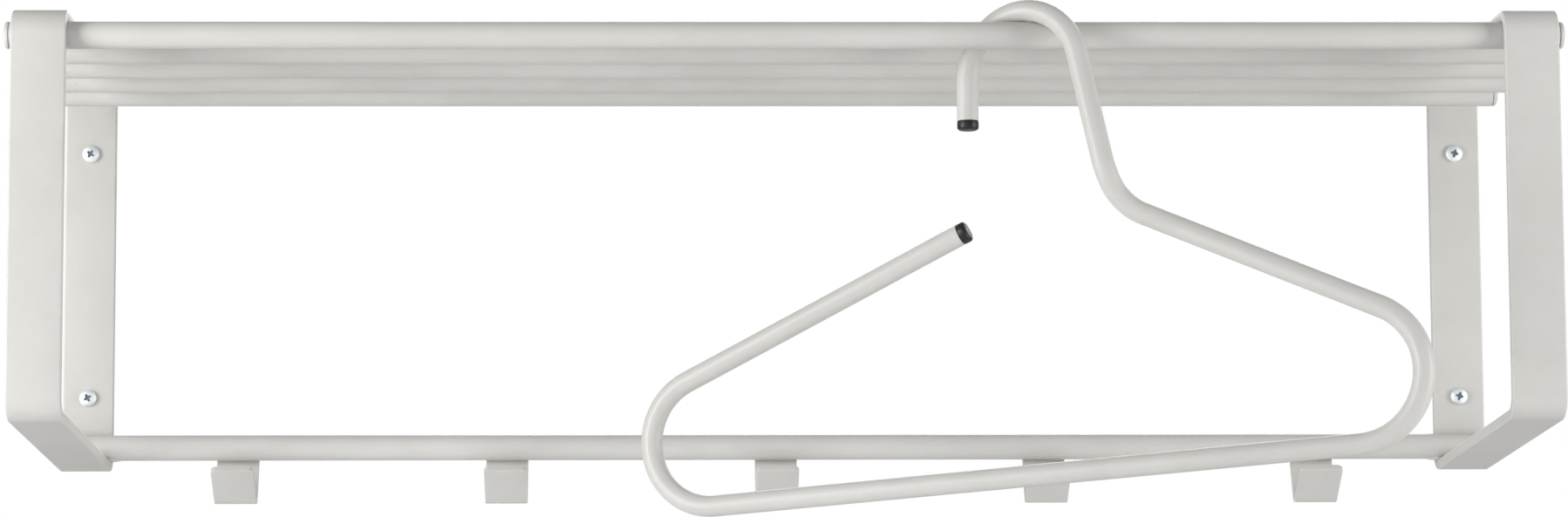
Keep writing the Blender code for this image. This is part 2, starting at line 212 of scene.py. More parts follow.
# %% Make the powder coat
def speck_mask(place, scale, share):
    """Small round dots, in the given share of the cells of a random grid."""
    cells = {"Vector": place, "Scale": scale}
    reach = place.node("ShaderNodeTexVoronoi", {}, cells)
    lot = place.node("ShaderNodeTexVoronoi", {}, cells, output="Color")
    chosen = lot.node("ShaderNodeSeparateColor", {}, {"Color": lot}) > 1 - share
    return (1 - reach.ramp(0.05, 0.13)) * chosen


def make_powder_coat():
    material, start = new_finish("powder_coat")
    place = start.coordinates()
    edge = start.stored("edge")
    patches = place.noise(11, detail=3)
    streaks = place.noise(60, detail=4)
    peel = place.noise(480, detail=2)
    grain = place.noise(2600, detail=1)
    specks = speck_mask(place, 120, 0.03)
    shade = (0.5 + 0.35 * patches + 0.15 * streaks + 0.05 * peel).ramp(0, 1)
    body = shade.blend((0.555, 0.547, 0.522, 1), (0.605, 0.597, 0.572, 1))
    thin = (edge * (0.8 + 0.4 * streaks)).ramp(0.3, 1.2)
    worn = thin.blend(body, (0.66, 0.655, 0.635, 1))
    speckled = (0.3 * specks).blend(worn, (0.40, 0.39, 0.37, 1))
    bump = start.bump(0.000016 * peel + 0.0000008 * grain + 0.00004 * specks)
    gloss = 0.42 + 0.04 * patches + 0.03 * streaks + 0.05 * grain
    sockets = {"Base Color": speckled, "Roughness": gloss, "Normal": bump, "IOR": 1.48}
    finish_with(material, sockets)
    return material


# %% Use it
POWDER_COAT = make_powder_coat()

# %% [markdown]
# ## Bright zinc
#
# The wall screws are steel with a thin bright zinc plating. It is a metal with a bluish white
# tint. The blank's forging and the tumbling in the plating drum leave it cloudy and finely
# scratched. A mirror-bright metal would only show the dark or light things round it, so the
# roughness is high and varies. The driver's bit wears the plating inside the cross, and dirt
# stays there. The mesh stores where the recess is, and the recipe darkens it there, partly for
# that dirt and partly as painted shade in the hollow.


# %% Make the zinc
def make_bright_zinc():
    material, start = new_finish("bright_zinc")
    place = start.coordinates()
    squeeze = {0: place, 1: (1.0, 1.0, 0.15)}
    stretched = place.node("ShaderNodeVectorMath", {"operation": "MULTIPLY"}, squeeze)
    clouds = place.noise(420, detail=4, roughness=0.6)
    scratches = stretched.noise(5200, detail=3)
    recess = start.stored("recess")
    tone = (0.5 + 0.4 * clouds).ramp(0, 1)
    plated = tone.blend((0.83, 0.87, 0.90, 1), (0.93, 0.95, 0.97, 1))
    # Deep in the cross the colour turns dark grey-blue: partly dirt and worn plating, partly
    # painted shade of the hollow.
    recess_dirt_and_shade = recess.ramp(0.0, 0.7).blend(plated, (0.32, 0.38, 0.43, 1))
    gloss = 0.56 + 0.05 * clouds + 0.04 * scratches
    bump = start.bump(0.000002 * scratches + 0.000004 * clouds)
    sockets = {"Base Color": recess_dirt_and_shade, "Metallic": 0.75, "Roughness": gloss, "Normal": bump}
    finish_with(material, sockets)
    return material


# %% Use it
BRIGHT_ZINC = make_bright_zinc()

# %% [markdown]
# ## Black plastic
#
# The hanger's two plugs are moulded polyethylene. The mould was spark-eroded, so the skin has a
# fine even grain, and handling polishes the high spots a little and leaves pale dust in between.
# Pure black would hide all of that, so the colour is a very dark grey that lightens with the rubs.


# %% Make the plastic
def make_black_plastic():
    material, start = new_finish("black_plastic")
    place = start.coordinates()
    grain = place.noise(3300, detail=2)
    rubs = place.noise(260, detail=4, roughness=0.65)
    dusty = (0.45 * rubs + 0.25 * grain).ramp(0.35, 1.2)
    skin = dusty.blend((0.007, 0.007, 0.0075, 1), (0.022, 0.0215, 0.021, 1))
    gloss = 0.40 + 0.07 * rubs + 0.05 * grain
    bump = start.bump(0.000010 * grain + 0.000012 * rubs)
    finish_with(material, {"Base Color": skin, "Roughness": gloss, "Normal": bump})
    return material


# %% Use it
BLACK_PLASTIC = make_black_plastic()

# %% [markdown]
# ## Sweeping a section along a path
#
# Almost everything here is one outline carried along a line: flat bar, tube and weld bead. A
# curve object with a bevel does that too, but it can't tell the finish anything. This helper
# takes a list of rings of points and joins each ring to the next, and it stores a number at every
# point that says how near it is to a sharp edge, which is where the powder coat is thin. A second
# helper turns a profile round an axis, as a lathe does, for tubes, caps, plugs and screw heads.


# %% Mesh helpers
def add_piece(name, bm, material, body, node=None, sharp=35):
    """Turns a bmesh into a piece that rides on a body and may replace a node of the frame."""
    bmesh.ops.recalc_face_normals(bm, faces=bm.faces)
    mesh = bpy.data.meshes.new(name)
    bm.to_mesh(mesh)
    bm.free()
    mesh.shade_smooth()
    mesh.set_sharp_from_angle(angle=math.radians(sharp))
    mesh.materials.append(material)
    piece = bpy.data.objects.new(name, mesh)
    bpy.context.scene.collection.objects.link(piece)
    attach(piece, body)
    if node:
        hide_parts(node)
    return piece


def edge_layer(bm):
    return bm.verts.layers.float.get("edge") or bm.verts.layers.float.new("edge")


def add_rings(bm, rings, edges=(), closed=False):
    """Skins rings of points. Open runs get an end face on the first and the last ring."""
    layer = edge_layer(bm)
    made = []
    for ring in rings:
        verts = [bm.verts.new(point) for point in ring]
        for vert, value in zip(verts, edges):
            vert[layer] = value
        made.append(verts)
    count = len(made[0])
    pairs = list(zip(made, made[1:]))
    if closed:
        pairs.append((made[-1], made[0]))
    else:
        bm.faces.new(made[0])
        bm.faces.new(list(reversed(made[-1])))
    for ring, after in pairs:
        for index in range(count):
            step = (index + 1) % count
            bm.faces.new((ring[index], ring[step], after[step], after[index]))


def turned(bm, profile, sides, place):
    """A profile of (radius, height) turned round Z, then put in place by a matrix."""
    edge_layer(bm)
    made = []
    for index in range(sides):
        angle = 2 * math.pi * index / sides
        cos, sin = math.cos(angle), math.sin(angle)
        points = [place @ Vector((r * cos, r * sin, h)) for r, h in profile]
        made.append([bm.verts.new(point) for point in points])
    for ring, after in zip(made, made[1:] + made[:1]):
        for index in range(len(profile) - 1):
            bm.faces.new((ring[index], after[index], after[index + 1], ring[index + 1]))
    bmesh.ops.remove_doubles(bm, verts=[v for ring in made for v in ring], dist=1e-7)


def arc_points(centre, radius, start, end, steps):
    """Points on an arc in a plane, as (first, second) pairs, with angles in degrees."""
    points = []
    for index in range(steps + 1):
        angle = math.radians(start + (end - start) * index / steps)
        across, up = radius * math.cos(angle), radius * math.sin(angle)
        points.append((centre[0] + across, centre[1] + up))
    return points


def bar_outline(width, thickness, radius, steps=4):
    """A rectangle with rounded corners, and how near each of its points is to an edge."""
    points, edges = [], []
    for turn, (u, v) in enumerate(((1, 1), (-1, 1), (-1, -1), (1, -1))):
        centre = (u * (width / 2 - radius), v * (thickness / 2 - radius))
        points += arc_points(centre, radius, 90 * turn, 90 * turn + 90, steps)
        edges += [math.sin(math.pi * index / steps) for index in range(steps + 1)]
    return points, edges


def turned_about_x(y, z, sign=1):
    """A matrix that lays a turned shape along X, with its height pointing to +X or -X."""
    return Matrix.Translation((0, y, z)) @ Matrix.Rotation(sign * math.pi / 2, 4, "Y")


# %% [markdown]
# ## Walking along a bent bar
#
# A bending machine feeds a straight length and then turns it through an angle, again and again.
# This walker does the same in a plane: each entry is a straight run, a turn and a radius. A
# smooth curve through a few points would be shorter to write, but its bends are no true arcs.


# %% The walker
def heading_vector(heading):
    return Vector((math.cos(heading), math.sin(heading)))


def walk(start, heading, bends, step=math.radians(4), stride=0.02):
    """Points and left-hand normals along a bent bar, in its own plane."""
    points = [Vector(start)]
    normals = [heading_vector(heading + math.pi / 2)]
    for straight, turn, radius in bends:
        point, normal = points[-1], heading_vector(heading + math.pi / 2)
        strides = math.ceil(straight / stride)
        for index in range(1, strides + 1):
            points.append(point + heading_vector(heading) * (straight * index / strides))
            normals.append(normal)
        side = math.copysign(radius, turn)
        centre = points[-1] + normal * side
        steps = math.ceil(abs(turn) / step)
        for index in range(1, steps + 1):
            normal = heading_vector(heading + turn * index / steps + math.pi / 2)
            points.append(centre - normal * side)
            normals.append(normal)
        heading += turn
    return points, normals


# %% [markdown]
# ## Side frames
#
# Each side is a 30 by 6 mm flat bar bent to a closed loop. Its rolled edges are rounded, and
# its four bends are tight. The loop's front is a little shorter than its back, so the lower run
# slopes. Four bevelled boxes would meet in mitres that no bent bar has, so the bar's outline is
# walked round the loop. Two holes in the rear leg take the wall screws, and they are cut with a
# Boolean modifier, whose result is kept as the mesh.

# %% Frame sizes
BAR_THICKNESS = 0.006
BAR_EDGE = 0.0009
BEND_INSIDE = TUBE_RADIUS + GAP
FRONT_HEIGHT = 0.227
REAR_HEIGHT = 0.237
SLOPE = math.atan2(REAR_HEIGHT - FRONT_HEIGHT, DEPTH)
SCREW_HOLE = 0.00275
DRILL_REACH = 0.02
SCREW_LEVELS = {
    level: middle(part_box(f"wall_screw_left_{level}")).z for level in ("upper", "lower")
}


# %% Bend and drill the side frames
def frame_walk():
    radius = BEND_INSIDE + BAR_THICKNESS / 2
    inset = BAR_THICKNESS / 2 + radius
    front_turn, rear_turn = math.pi / 2 - SLOPE, math.pi / 2 + SLOPE
    low = BAR_THICKNESS / 2 * (1 / math.cos(SLOPE) + math.tan(SLOPE))
    high = BAR_THICKNESS / 2 * (1 / math.cos(SLOPE) - math.tan(SLOPE))
    front = FRONT_HEIGHT - inset - high - radius * math.tan(front_turn / 2)
    rear = REAR_HEIGHT - inset - low - radius * math.tan(rear_turn / 2)
    bottom = (DEPTH - BAR_THICKNESS) / math.cos(SLOPE)
    bottom -= radius * (math.tan(front_turn / 2) + math.tan(rear_turn / 2))
    bends = [
        (DEPTH - 2 * inset, math.pi / 2, radius),
        (front, front_turn, radius),
        (bottom, rear_turn, radius),
        (rear, math.pi / 2, radius),
    ]
    points, normals = walk((-inset, TOP_Z - BAR_THICKNESS / 2), math.pi, bends)
    return points[:-1], normals[:-1]


def cut_from(piece, cutter_bm):
    """Cuts a shape out of a piece, and leaves the result as its mesh."""
    bmesh.ops.recalc_face_normals(cutter_bm, faces=cutter_bm.faces)
    mesh = bpy.data.meshes.new("cutter")
    cutter_bm.to_mesh(mesh)
    cutter_bm.free()
    cutter = bpy.data.objects.new("cutter", mesh)
    bpy.context.scene.collection.objects.link(cutter)
    cut = piece.modifiers.new("cut", "BOOLEAN")
    cut.operation = "DIFFERENCE"
    cut.solver = "EXACT"
    cut.object = cutter
    graph = bpy.context.evaluated_depsgraph_get()
    result = bpy.data.meshes.new_from_object(piece.evaluated_get(graph))
    piece.modifiers.clear()
    piece.data = result
    bpy.data.objects.remove(cutter)
    result.set_sharp_from_angle(angle=math.radians(35))


def make_side_frame(side, box):
    x = middle(box).x
    outline, edges = bar_outline(BAR_WIDTH, BAR_THICKNESS, BAR_EDGE)
    points, normals = frame_walk()
    rings = []
    for point, normal in zip(points, normals):
        rings.append([(x + u, *(point + v * normal)) for u, v in outline])
    bm = bmesh.new()
    add_rings(bm, rings, edges, closed=True)
    node = f"side_frame_{side}"
    piece = add_piece(f"{node}_bar", bm, POWDER_COAT, "rack", node)
    holes = bmesh.new()
    for level in SCREW_LEVELS.values():
        across = Matrix.Translation((x, 0, level)) @ Matrix.Rotation(math.pi / 2, 4, "X")
        side_line = [(SCREW_HOLE, -DRILL_REACH), (SCREW_HOLE, DRILL_REACH)]
        turned(holes, [(0, -DRILL_REACH), *side_line, (0, DRILL_REACH)], 40, across)
    cut_from(piece, holes)
    print(piece.name, len(piece.data.polygons), "faces")


# %% Make both
make_side_frame("left", LEFT_BAR)
make_side_frame("right", RIGHT_BAR)

# %% [markdown]
# ## Tubes and caps
#
# The five shelf tubes and the hook rail are round steel tube, closed at the ends by caps that
# are painted with the rest. A cap has a rounded rim, and a fine joint shows round it. Blender's
# own cylinder is solid and sharp-edged, so tube and cap are turned from a profile. That gives a
# real bore, and a small burr-free rounding at each cut end.

# %% Tube sizes
TUBE_WALL = 0.0015
CUT_ROUNDING = 0.0004
CAP_HEAD = 0.0024
CAP_ROUNDING = 0.0018
CAP_STEM = 0.010
STEM_CHAMFER = 0.0008
RIM_EASE = 0.00025
JOINT = GAP


# %% Tube and cap makers
def tube_profile(radius, wall, low, high):
    """A closed ring-shaped outline for a tube with rounded cut ends."""
    r = CUT_ROUNDING
    bore = radius - wall
    ends = arc_points((radius - r, high - r), r, 0, 90, 3)
    ends += arc_points((bore + r, high - r), r, 90, 180, 3)
    ends += arc_points((bore + r, low + r), r, 180, 270, 3)
    ends += arc_points((radius - r, low + r), r, 270, 360, 3)
    return ends + ends[:1]


def cap_profile(radius, wall, head, stem):
    """A cap's outline from the inner end of its stem to the middle of its face."""
    fit, face, top = radius - wall - JOINT, radius - CAP_ROUNDING, JOINT + head
    points = [(0, -stem), (fit - STEM_CHAMFER, -stem), (fit, STEM_CHAMFER - stem), (fit, JOINT)]
    points += [(radius - RIM_EASE, JOINT), (radius, JOINT + RIM_EASE)]
    points += arc_points((face, JOINT + head - CAP_ROUNDING), CAP_ROUNDING, 0, 90, 7)
    return points + [(face * 0.62, top + 0.00003), (face * 0.3, top), (0, top)]


def make_tube(node):
    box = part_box(node)
    axis = middle(box)
    radius = (box[1].z - box[0].z) / 2
    bm = bmesh.new()
    half = (box[1].x - box[0].x) / 2
    turned(bm, tube_profile(radius, TUBE_WALL, -half, half), 72, turned_about_x(axis.y, axis.z))
    add_piece(f"{node}_skin", bm, POWDER_COAT, "rack", node)
    for side, sign in (("left", -1), ("right", 1)):
        cap = bmesh.new()
        place = Matrix.Translation((sign * half, 0, 0)) @ turned_about_x(axis.y, axis.z, sign)
        turned(cap, cap_profile(radius, TUBE_WALL, CAP_HEAD, CAP_STEM), 64, place)
        add_piece(f"{node}_cap_{side}_skin", cap, POWDER_COAT, "rack", f"{node}_cap_{side}")
    print(node, "radius", round(radius, 4), "half length", round(half, 4))


# %% Make the tubes
SHELF_TUBES = [f"shelf_tube_{index}" for index in range(1, 6)]
for tube in [*SHELF_TUBES, "hook_rail"]:
    make_tube(tube)

# %% [markdown]
# ## Coat hooks
#
# A coat hook is a short piece of 25 by 3 mm strip, folded to a V in a press. Its back leg runs
# up behind the rail, where it is welded, and leans forward as it comes down. Its front leg ends
# in two rounded corners. A folded plane with a Solidify modifier would keep hard edges all round.
# So the fold is walked in a plane, and the rings of the strip's outline get narrower near the tip
# to round the corners.

# %% Hook sizes
HOOK_THICKNESS = 0.003
HOOK_DROP = 0.034
HOOK_RISE = 0.020
HOOK_LEAN = math.radians(27)
HOOK_SLOPE = math.radians(33)
HOOK_BEND = 0.004
HOOK_TOP = 0.005
HOOK_CORNER = 0.003
HOOK_EDGE = 0.0005
CORNER_STEPS = 8


# %% Fold the coat hooks
def hook_walk():
    half = HOOK_THICKNESS / 2
    radius = HOOK_BEND + half
    reach = RAIL_RADIUS + GAP + half
    touch = Vector((math.cos(HOOK_LEAN), -math.sin(HOOK_LEAN))) * reach
    heading = -math.pi / 2 - HOOK_LEAN
    start = touch - heading_vector(heading) * HOOK_TOP
    bend_z = radius + half - HOOK_DROP
    back = (touch.y + radius * math.sin(HOOK_LEAN) - bend_z) / math.cos(HOOK_LEAN)
    rise = HOOK_RISE - HOOK_DROP - half * math.cos(HOOK_SLOPE) - bend_z
    front = (rise + radius * math.cos(HOOK_SLOPE)) / math.sin(HOOK_SLOPE)
    turn = HOOK_LEAN - HOOK_SLOPE - math.pi / 2
    bends = [(back + HOOK_TOP, turn, radius), (front, 0, 0)]
    return walk(start, heading, bends, stride=0.004)


def tip_stations(points, normals):
    """Adds close stations over the last few millimetres, where the corners are rounded."""
    end, before = points[-1], points[-2]
    along = (end - before).normalized()
    stations = []
    for point, normal in zip(points, normals):
        if (end - point).dot(along) > HOOK_CORNER * 1.02:
            stations.append((point, normal, 0.0))
    for index in range(CORNER_STEPS + 1):
        angle = math.radians(90 * index / CORNER_STEPS)
        back = HOOK_CORNER * (1 - math.sin(angle))
        narrow = HOOK_CORNER * (1 - math.cos(angle))
        stations.append((end - along * back, normals[-1], narrow))
    return stations


def make_coat_hook(index):
    node = f"coat_hook_{index}"
    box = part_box(node)
    x, width = middle(box).x, box[1].x - box[0].x
    points, normals = hook_walk()
    rings = []
    for point, normal, narrow in tip_stations(points, normals):
        outline, edges = bar_outline(width - 2 * narrow, HOOK_THICKNESS, HOOK_EDGE, 3)
        ring = []
        for u, v in outline:
            y = RAIL_AXIS.y + point.x + v * normal.x
            z = RAIL_AXIS.z + point.y + v * normal.y
            ring.append((x + u, y, z))
        rings.append(ring)
    bm = bmesh.new()
    add_rings(bm, rings, edges)
    add_piece(f"{node}_strip", bm, POWDER_COAT, "rack", node)
    return x


# %% Make five
HOOK_PLACES = [make_coat_hook(index) for index in range(1, 6)]
print("coat hooks at x =", [round(x, 4) for x in HOOK_PLACES])

# %% [markdown]
# ## Weld beads
#
# Short fillet welds hold the tubes under the frames' top runs, the rail in the lower rear
# corners and the hooks behind the rail. A bead is a row of overlapping drops. It could be a
# smooth strip with bump, but bump can't change an outline, and a weld's ripples show in it. So
# it is a round section whose size swells and shrinks about every millimetre, a little unevenly,
# and fades at its ends. The unevenness comes from seeded random numbers, the same on every run.

# %% Weld sizes
RIPPLE_LENGTH = 0.0013
RIPPLE_SHARE = 0.10
RING_SPACING = 0.00028
BEAD_SIDES = 14
FIRST_SEED = 11
BEAD_MARGIN = 0.003
TUBE_BEAD_DROP = 0.0013


# %% Lay the weld beads
def bead_rings(start, end, size, seed):
    """Rings of points for a rippled bead from start to end."""
    rng = np.random.default_rng(seed)
    along = end - start
    length = along.length
    along.normalize()
    side = along.orthogonal().normalized()
    up = along.cross(side)
    steps = max(12, int(length / RING_SPACING))
    drift = np.cumsum(rng.normal(0, 0.00003, steps + 1))
    rings = []
    for index in range(steps + 1):
        share = index / steps
        phase = 2 * math.pi * share * length / RIPPLE_LENGTH + 0.6 * drift[index] * 1e4
        ripple = 1 + RIPPLE_SHARE * math.sin(phase)
        fade = math.sin(math.pi * min(max(share, 0.012), 0.988)) ** 0.22
        radius = size * ripple * fade
        centre = start + along * (share * length) + side * float(drift[index]) * 0.5
        ring = []
        for point in range(BEAD_SIDES):
            angle = 2 * math.pi * point / BEAD_SIDES
            across, above = radius * math.cos(angle), radius * math.sin(angle)
            ring.append(centre + side * across + up * above)
        rings.append(ring)
    return rings


def lay_beads(name, runs, size):
    bm = bmesh.new()
    for seed, (start, end) in enumerate(runs, FIRST_SEED):
        add_rings(bm, bead_rings(Vector(start), Vector(end), size, seed))
    add_piece(name, bm, POWDER_COAT, "rack", sharp=80)
    print(name, len(runs), "runs")


def tube_beads():
    """Both sides of each shelf tube, where it touches the frame's top run. The front tube lies
    in the frame's bend, so it is welded on its rear side only."""
    runs = []
    aside = TUBE_RADIUS * 0.62
    level = TOP_Z - BAR_THICKNESS - TUBE_BEAD_DROP
    for box in (LEFT_BAR, RIGHT_BAR):
        low, high = box[0].x + BEAD_MARGIN, box[1].x - BEAD_MARGIN
        for tube in SHELF_TUBES:
            y = middle(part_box(tube)).y
            for sign in (1,) if tube == SHELF_TUBES[0] else (-1, 1):
                runs.append(((low, y + sign * aside, level), (high, y + sign * aside, level)))
    return runs


def rail_beads():
    """The rail to the rear leg and to the lower run, and a fillet past the frame's inner edge."""
    runs = []
    above = (-BAR_THICKNESS - 0.0015, RAIL_AXIS.z + RAIL_RADIUS * 0.66)
    below = RAIL_AXIS.z - RAIL_RADIUS
    before = (RAIL_AXIS.y - RAIL_RADIUS * 0.66, below - GAP + 0.0016)
    for box in (LEFT_BAR, RIGHT_BAR):
        low, high = box[0].x + BEAD_MARGIN, box[1].x - BEAD_MARGIN
        runs.append(((low, *above), (high, *above)))
        runs.append(((low, *before), (high, *before)))
        edge, inwards = (box[1].x, 1) if high < 0 else (box[0].x, -1)
        fillet_start = (edge - inwards * 0.003, RAIL_AXIS.y - 0.002, below + 0.0004)
        fillet_end = (edge + inwards * 0.008, RAIL_AXIS.y - 0.001, below + 0.0014)
        runs.append((fillet_start, fillet_end))
    return runs


def hook_beads():
    """Behind the rail, along the top end of each hook's back leg."""
    reach, angle, half = RAIL_RADIUS + 2 * GAP, math.radians(2), 0.011
    y = RAIL_AXIS.y + reach * math.cos(angle)
    z = RAIL_AXIS.z + reach * math.sin(angle)
    return [((x - half, y, z), (x + half, y, z)) for x in HOOK_PLACES]


# %% Weld everything
lay_beads("shelf_welds", tube_beads(), 0.0016)
lay_beads("rail_welds", rail_beads(), 0.0018)
lay_beads("hook_welds", hook_beads(), 0.0015)

# %% [markdown]
# ## Wall screws
#
# Each is a pan-head screw with a cross recess. The head is a low dome with a rounded rim. The
# recess is cut as a cross that narrows downwards. For the thread, the Screw modifier leaves a
# ridge that has to be joined to the shank. Here shank and thread are one surface, whose radius
# depends on height and angle together, and that gives a helix that runs out cleanly. The
# crosses stand at different angles, because nobody stops a driver at the same place twice.

# %% Screw sizes
SCREW_HEAD = 0.0051
HEAD_HEIGHT = 0.0028
SHANK = 0.00225
SCREW_LENGTH = 0.040
POINT_LENGTH = 0.008
THREAD_PITCH = 0.0019
THREAD_DEPTH = 0.00065
PLAIN_LENGTH = 0.007
THREAD_SIDES = 40
THREAD_STEPS = 220
HEAD_RIM = 0.00072
CROSS_ARM = 0.0027
CROSS_HALF = 0.00065
CROSS_DEPTH = 0.0019
SEAT_Y = -BAR_THICKNESS - GAP


# %% Screw makers
def head_profile():
    points = [(0, 0), (SCREW_HEAD - 0.0002, 0), (SCREW_HEAD, 0.0002), (SCREW_HEAD, HEAD_RIM)]
    for index in range(1, 12):
        angle = math.radians(90 * index / 12)
        width = SCREW_HEAD * math.cos(angle) ** 0.75
        points.append((width, HEAD_RIM + (HEAD_HEIGHT - HEAD_RIM) * math.sin(angle)))
    return points + [(0, HEAD_HEIGHT)]


def thread_rings():
    """Rings down the shank. The crest follows height and angle together."""
    rings = []
    for step in range(THREAD_STEPS + 1):
        depth = SCREW_LENGTH * step / THREAD_STEPS
        to_point = SCREW_LENGTH - depth
        taper = min(1.0, (to_point + 0.00015) / POINT_LENGTH) ** 0.85
        cut = min(1.0, max(0.0, (depth - PLAIN_LENGTH) / 0.002))
        ring = []
        for side in range(THREAD_SIDES):
            angle = 2 * math.pi * side / THREAD_SIDES
            phase = (depth / THREAD_PITCH - side / THREAD_SIDES) % 1.0
            crest = max(0.0, 1 - abs(phase - 0.5) / 0.22)
            radius = (SHANK - THREAD_DEPTH * cut * (1 - crest)) * taper
            across, up = radius * math.cos(angle), radius * math.sin(angle)
            ring.append(Vector((across, up, 0.0004 - depth)))
        rings.append(ring)
    return rings


def cross_shape(place):
    """The recess: a cross that narrows downwards, as a closed shape."""
    corner = CROSS_HALF * 1.5
    quarter = [(CROSS_ARM, -CROSS_HALF), (CROSS_ARM, CROSS_HALF), (corner, corner)]
    outline = []
    for turn in range(4):
        for x, y in quarter:
            for _ in range(turn):
                x, y = -y, x
            outline.append((x, y))
    rings = []
    for height, scale in ((HEAD_HEIGHT - CROSS_DEPTH, 0.55), (HEAD_HEIGHT + CROSS_DEPTH, 1.45)):
        rings.append([place @ Vector((x * scale, y * scale, height)) for x, y in outline])
    bm = bmesh.new()
    add_rings(bm, rings)
    return bm


def mark_recess(piece, place):
    """Stores 1 at the points deep in the cross and 0 at all the others."""
    back = place.inverted()
    mesh = piece.data
    values = []
    for vert in mesh.vertices:
        local = back @ vert.co
        inside = math.hypot(local.x, local.y) < 0.75 * SCREW_HEAD
        values.append(float(inside and 0.0005 < local.z < HEAD_HEIGHT - 0.0012))
    mesh.attributes.new("recess", "FLOAT", "POINT").data.foreach_set("value", values)


def make_screw(side, level, degrees):
    node = f"wall_screw_{side}_{level}"
    centre = middle(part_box(node))
    seat = Matrix.Translation((centre.x, SEAT_Y, centre.z)) @ Matrix.Rotation(math.pi / 2, 4, "X")
    place = seat @ Matrix.Rotation(math.radians(degrees), 4, "Z")
    head = bmesh.new()
    turned(head, head_profile(), 56, place)
    piece = add_piece(f"{node}_head", head, BRIGHT_ZINC, "rack", node, sharp=50)
    cut_from(piece, cross_shape(place))
    mark_recess(piece, place)
    shank = bmesh.new()
    add_rings(shank, [[place @ point for point in ring] for ring in thread_rings()])
    add_piece(f"{node}_thread", shank, BRIGHT_ZINC, "rack", None, sharp=50)
    print(node, "turned", degrees, "degrees")


# %% Make four
make_screw("left", "upper", 58)
make_screw("left", "lower", 30)
make_screw("right", "upper", 75)
make_screw("right", "lower", -15)

# %% [markdown]
# ## The hanger
#
# One 12 mm tube is bent to a hook, a neck, two shoulders and a bar, and it has twisted a little
# in use, so its hook and its body stand at different angles to the front tube. The walker bends
# the flat shape. A second step turns each point about the upright through the hook, by an
# amount that depends on its height. The body is then set back so far that the hanger's weight
# lies right below the tube, and it hangs plumb. A Curve object with a round bevel would also
# sweep the tube, but its rings turn as it pleases, while these are carried without any twist.

# %% Hanger sizes
HANGER_X = 0.1305
HANGER_RADIUS = 0.006
HOOK_YAW = math.radians(38.4)
BODY_YAW = math.radians(25.5)
TWIST_TOP = 0.073
TWIST_BOTTOM = 0.114
HOOK_RADIUS = 0.037
HOOK_TIP = 0.021
HANGER_SIDES = 40
HANGER_BENDS = [
    (HOOK_TIP, math.radians(14.5 - 180), 0.0368),
    (0.0732, math.radians(90 - 14.5 - 23.6), 0.0283),
    (0.143, math.radians(23.6 + 3.1 - 180), 0.038),
    (0.376, math.radians(24.1 - 3.1 - 180), 0.037),
    (0.1828, 0, 0),
]


# %% Bend and twist the hanger
def hook_share(up):
    share = min(max((up + TWIST_BOTTOM) / (TWIST_BOTTOM - TWIST_TOP), 0), 1)
    return share * share * (3 - 2 * share)


def hanger_line():
    """The tube's middle line in space, from the hook's tip to the shoulder's end."""
    crown = TUBE_RADIUS + GAP + HANGER_RADIUS
    tip = (-HOOK_RADIUS, crown - HOOK_RADIUS - HOOK_TIP)
    flat, _ = walk(tip, math.pi / 2, HANGER_BENDS, math.radians(3), 0.004)
    moment, weight = 0, 0
    for start, end in zip(flat, flat[1:]):
        centre, length = (start + end) / 2, (end - start).length
        share = hook_share(centre.y)
        yaw = BODY_YAW + (HOOK_YAW - BODY_YAW) * share
        moment -= length * centre.x * math.sin(yaw)
        weight += length * (1 - share)
    line = []
    for right, up in flat:
        share = hook_share(up)
        yaw = BODY_YAW + (HOOK_YAW - BODY_YAW) * share
        back = -moment / weight * (1 - share) - right * math.sin(yaw)
        x = HANGER_X + right * math.cos(yaw)
        line.append(Vector((x, FRONT_AXIS.y + back, FRONT_AXIS.z + up)))
    return line


def frames_along(line):
    """A direction along the line and two across it at every point, without any sudden turn."""
    ahead = [(b - a).normalized() for a, b in zip(line, line[1:])]
    tangents = [ahead[0]] + [(a + b).normalized() for a, b in zip(ahead, ahead[1:])] + [ahead[-1]]
    side = tangents[0].orthogonal().normalized()
    frames = []
    for tangent in tangents:
        side = (side - tangent * side.dot(tangent)).normalized()
        frames.append((tangent, side, tangent.cross(side)))
    return frames


def make_hanger():
    line = hanger_line()
    rings = []
    for point, (_, side, up) in zip(line, frames_along(line)):
        ring = []
        for index in range(HANGER_SIDES):
            angle = 2 * math.pi * index / HANGER_SIDES
            ring.append(point + (side * math.cos(angle) + up * math.sin(angle)) * HANGER_RADIUS)
        rings.append(ring)
    bm = bmesh.new()
    add_rings(bm, rings)
    add_piece("hanger_tube_skin", bm, POWDER_COAT, "hanger", "hanger_tube")
    print("hanger line has", len(line), "points")
    return line


# %% Make it
HANGER_LINE = make_hanger()

# %% [markdown]
# Each end is closed by a black plug, which stands out about 5 mm with a rounded rim. It is turned
# from a profile like the caps. The edge next to the tube is eased, so that a fine dark line shows
# where plug and tube meet. Its place and direction come from the last two points of the hanger's
# line, so it sits square on the tube whatever the bends are.

# %% Make the plugs
PLUG_HEAD = 0.0049
PLUG_ROUNDING = 0.0018


def plug_profile():
    radius, top = HANGER_RADIUS, JOINT + PLUG_HEAD
    points = [(0, 0), (radius - 0.0004, 0), (radius - 0.0004, JOINT)]
    points += [(radius - 0.0001, JOINT + 0.0002), (radius, JOINT + 0.0005)]
    centre = (radius - PLUG_ROUNDING, top - PLUG_ROUNDING)
    points += arc_points(centre, PLUG_ROUNDING, 0, 90, 8)
    return points + [(radius * 0.4, top + 0.00004), (0, top + 0.00005)]


def make_plug(name, end, before):
    outwards = (end - before).normalized()
    place = Matrix.Translation(end) @ outwards.to_track_quat("Z", "Y").to_matrix().to_4x4()
    bm = bmesh.new()
    turned(bm, plug_profile(), 56, place)
    piece = add_piece(f"{name}_skin", bm, BLACK_PLASTIC, "hanger", name, 50)
    print(piece.name, "points", [round(v, 2) for v in outwards])


